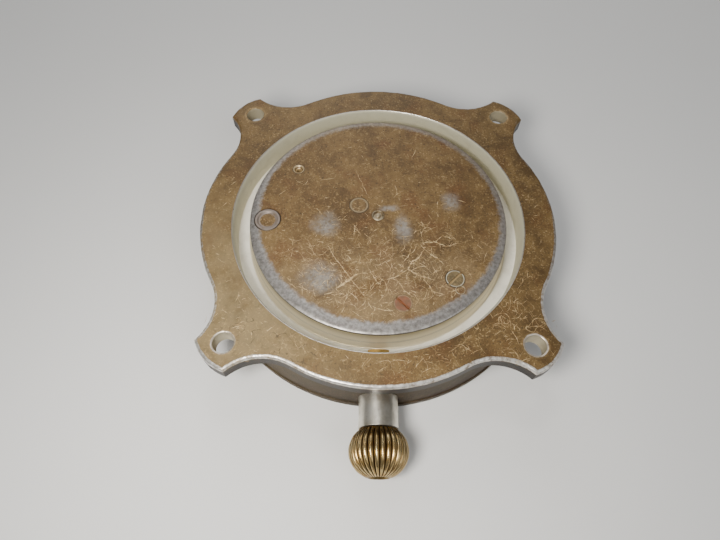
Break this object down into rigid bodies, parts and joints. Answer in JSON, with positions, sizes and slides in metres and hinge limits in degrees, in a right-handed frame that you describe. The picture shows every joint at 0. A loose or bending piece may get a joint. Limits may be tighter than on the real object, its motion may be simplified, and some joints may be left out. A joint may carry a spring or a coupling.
{
  "type": "aneroid altimeter",
  "caption": "Round antique aneroid altimeter for a panel, lying face down: eared flange, sealed drum back in a bright groove, pendant tube and ribbed setting crown.",
  "frame": {"origin": "centre of the four panel holes, on the flange's back face", "axes": "+Z out of the back of the case along its axis, so the dial faces -Z; -Y along the setting stem towards the crown"},
  "size_m": [0.0812, 0.096, 0.0167],
  "materials": {
    "case_finish": "brown oxidised lacquer over plated brass, rubbed through to bright metal on the edges",
    "drum_finish": "brown oxidised lacquer, mottled and finely scratched, blue-grey metal on the rounded edge",
    "nickel": "polished nickel, lightly tarnished",
    "crown_gilt": "gilt brass, ribbed, tarnished in the grooves",
    "steel_screw": "grey steel with a slotted flush head",
    "red_lacquer": "steel sealed with worn red lacquer",
    "stud_metal": "bright worn end of a stud",
    "plug_metal": "flush plug under the same brown finish",
    "brass": "lacquered brass",
    "nickel_silver": "corrugated nickel-silver sheet, satin",
    "steel": "plain polished steel",
    "blued_steel": "tempered blue",
    "crystal": "flat ground glass",
    "gasket": "aged black rubber",
    "black_ring": "matt black enamel",
    "dial_enamel": "silvered dial with black divisions"
  },
  "bodies": {
    "case": {"mounting_flange": "case_finish", "case_body": "case_finish", "case_back": "drum_finish", "bezel": "case_finish", "crystal": "crystal", "crystal_gasket": "gasket", "index_ring": "black_ring", "dial_seat": "brass", "stem_housing": "brass", "pendant_tube": "nickel", "vent_bush": "plug_metal", "access_plug": "plug_metal", "locating_rivet": "plug_metal", "fixing_screw": "steel_screw", "calibration_screw": "red_lacquer", "base_plate": "brass", "capsule_stud": "stud_metal", "capsule_back_shell": "nickel_silver", "capsule_front_shell": "nickel_silver", "spring_stand": "brass", "spring_clamp": "brass", "clamp_screws": "blued_steel", "rocker_brackets": "brass", "movement_pillars": "brass", "arbor_plate": "brass", "upper_cock": "brass", "cock_screws": "blued_steel", "hairspring": "blued_steel", "hairspring_stud": "steel"},
    "post": {"capsule_post": "steel", "knife_pin": "steel"},
    "lever": {"main_spring": "blued_steel", "lever_arm": "steel", "lever_link": "steel"},
    "rocker": {"rocking_shaft": "steel", "short_arm": "brass", "long_arm": "steel"},
    "sector": {"sector_arbor": "steel", "toothed_sector": "brass"},
    "pointer": {"pointer_arbor": "steel", "arbor_pinion": "steel", "hairspring_collet": "brass", "pointer": "blued_steel", "pointer_boss": "brass"},
    "dial": {"dial_plate": "dial_enamel", "dial_gear": "brass"},
    "crown": {"crown": "crown_gilt", "crown_cap": "crown_gilt", "setting_stem": "steel", "stem_pinion": "brass"}
  },
  "joints": [
    {"name": "pointer_turn", "type": "hinge", "parent": "case", "child": "pointer", "pos_m": [0, 0, -0.0134], "axis": [0, 0, 1], "range_deg": [0, 280]},
    {"name": "sector_turn", "type": "hinge", "parent": "case", "child": "sector", "pos_m": [-0.014, -0.0215, -0.0105], "axis": [0, 0, -1], "range_deg": [0, 14.39]},
    {"name": "rocker_turn", "type": "hinge", "parent": "case", "child": "rocker", "pos_m": [0, -0.0215, -0.0052], "axis": [-1, 0, 0], "range_deg": [0, 10.72]},
    {"name": "lever_tilt", "type": "hinge", "parent": "case", "child": "lever", "pos_m": [0, 0.02, -0.00745], "axis": [1, 0, 0], "range_deg": [0, 1.11]},
    {"name": "post_lift", "type": "slide", "parent": "case", "child": "post", "axis": [0, 0, -1], "range_m": [0, 0.000389]},
    {"name": "dial_turn", "type": "hinge", "parent": "case", "child": "dial", "pos_m": [0, 0, -0.0126], "axis": [0, 0, 1], "continuous": true},
    {"name": "crown_turn", "type": "hinge", "parent": "case", "child": "crown", "pos_m": [0, -0.05, -0.0102], "axis": [0, 1, 0], "continuous": true}
  ],
  "couplings": [
    {"joint": "sector_turn", "follows": "pointer_turn", "ratio": 0.051216},
    {"joint": "rocker_turn", "follows": "pointer_turn", "ratio": 0.038114},
    {"joint": "lever_tilt", "follows": "pointer_turn", "ratio": 0.00388},
    {"joint": "post_lift", "follows": "pointer_turn", "m_per_rad": 0.000077607},
    {"joint": "crown_turn", "follows": "dial_turn", "ratio": -20}
  ]
}
